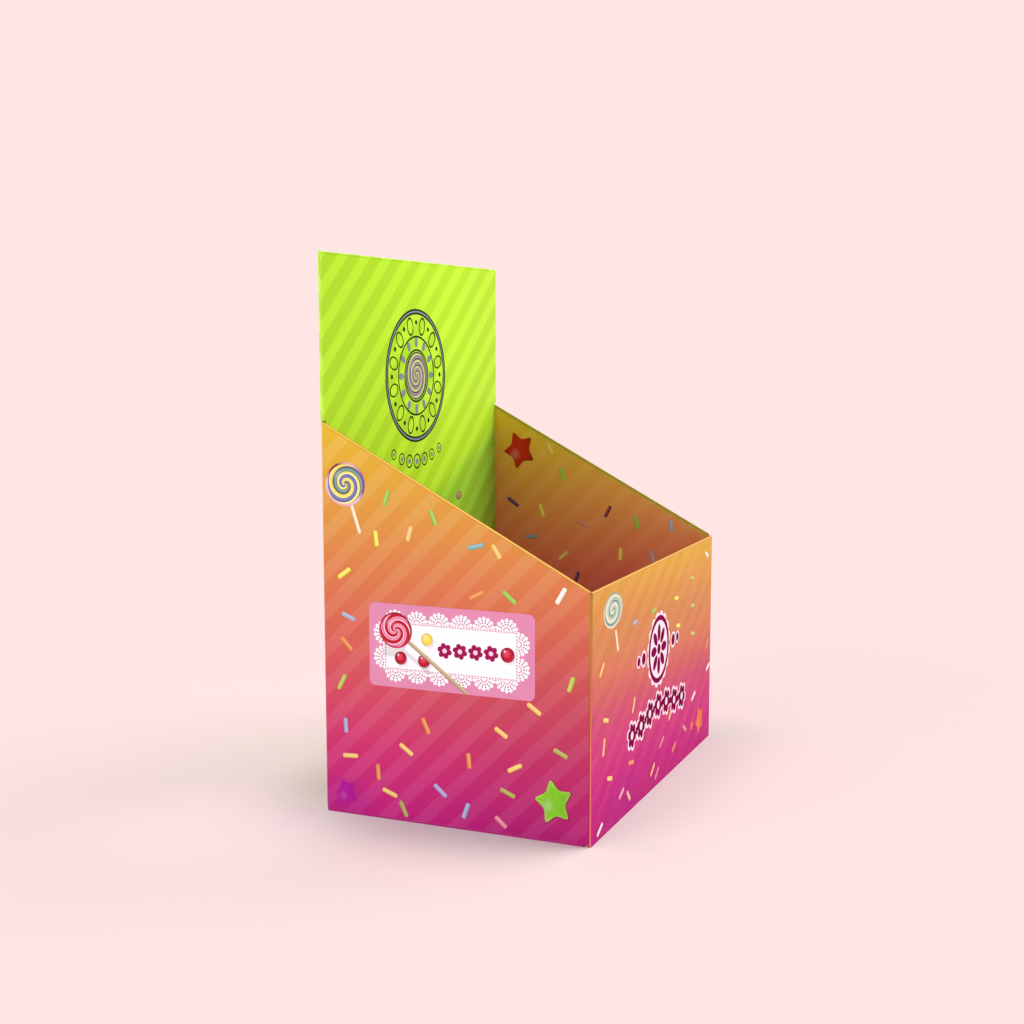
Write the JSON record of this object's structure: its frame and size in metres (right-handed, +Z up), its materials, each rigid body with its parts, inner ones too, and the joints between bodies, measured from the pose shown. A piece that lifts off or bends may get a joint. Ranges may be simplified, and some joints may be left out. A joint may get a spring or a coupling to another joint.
{
  "type": "counter display box",
  "caption": "Fold-flat counter display box in printed double-wall board, with sloped side walls, a tall header and a bottom that tucks in.",
  "frame": {"origin": "middle of the box's footprint on the floor, glue flap included", "axes": "+X to the right seen from the front, +Y to the back wall and header, +Z up; the low front wall faces -Y"},
  "size_m": [0.2371, 0.16, 0.313],
  "materials": {
    "green_print": "lime print, satin coated, with soft diagonal stripes",
    "outer_board_back": "lime print on the back of the header and the back wall, satin coated",
    "glue_flap_board": "print that runs on from the right wall, satin coated",
    "side_print": "orange to magenta print with soft diagonal stripes and sprinkles, satin coated",
    "front_print": "orange to magenta print with soft diagonal stripes and sprinkles, satin coated",
    "inner_print": "orange to magenta print with sprinkles inside the walls, satin coated",
    "rim_print": "amber print over the rolled rims, satin coated",
    "label_paper": "pink printed label with a white lace border and no words",
    "base_print": "magenta print under the box, satin coated",
    "white_board": "unprinted white board"
  },
  "bodies": {
    "back": {"back_panel": "outer_board_back", "back_liner": "green_print", "header_fold": "green_print", "glue_flap": "glue_flap_board"},
    "left": {"left_panel": "side_print", "left_liner": "inner_print", "left_rim_fold": "rim_print", "left_label": "label_paper"},
    "front": {"front_panel": "front_print", "front_liner": "inner_print", "front_rim_fold": "rim_print"},
    "right": {"right_panel": "side_print", "right_liner": "inner_print", "right_rim_fold": "rim_print"},
    "bottom": {"bottom_panel": "base_print"},
    "tuck": {"tuck_flap": "white_board"},
    "left_dust": {"left_dust_flap": "white_board"},
    "right_dust": {"right_dust_flap": "white_board"}
  },
  "joints": [
    {"name": "left_fold", "type": "hinge", "parent": "back", "child": "left", "pos_m": [-0.1162, 0.0766, 0], "axis": [0, 0, 1], "range_deg": [0, 90]},
    {"name": "front_fold", "type": "hinge", "parent": "left", "child": "front", "pos_m": [-0.1185, -0.08, 0], "axis": [0, 0, 1], "range_deg": [-90, 0]},
    {"name": "right_fold", "type": "hinge", "parent": "front", "child": "right", "pos_m": [0.1162, -0.0777, 0], "axis": [0, 0, 1], "range_deg": [0, 90]},
    {"name": "bottom_fold", "type": "hinge", "parent": "back", "child": "bottom", "pos_m": [0, 0.0789, 0], "axis": [1, 0, 0], "range_deg": [0, 90]},
    {"name": "tuck_fold", "type": "hinge", "parent": "bottom", "child": "tuck", "pos_m": [0, -0.0763, 0], "axis": [1, 0, 0], "range_deg": [0, 90]},
    {"name": "left_dust_fold", "type": "hinge", "parent": "left", "child": "left_dust", "pos_m": [-0.1185, 0, 0.0012], "axis": [0, 1, 0], "range_deg": [0, 90]},
    {"name": "right_dust_fold", "type": "hinge", "parent": "right", "child": "right_dust", "pos_m": [0.1185, 0, 0.0012], "axis": [0, -1, 0], "range_deg": [0, 90]}
  ],
  "couplings": [
    {"joint": "front_fold", "follows": "left_fold", "ratio": -1},
    {"joint": "right_fold", "follows": "left_fold", "ratio": 1},
    {"joint": "bottom_fold", "follows": "left_fold", "ratio": 1},
    {"joint": "tuck_fold", "follows": "left_fold", "ratio": 1},
    {"joint": "left_dust_fold", "follows": "left_fold", "ratio": 1},
    {"joint": "right_dust_fold", "follows": "left_fold", "ratio": 1}
  ]
}
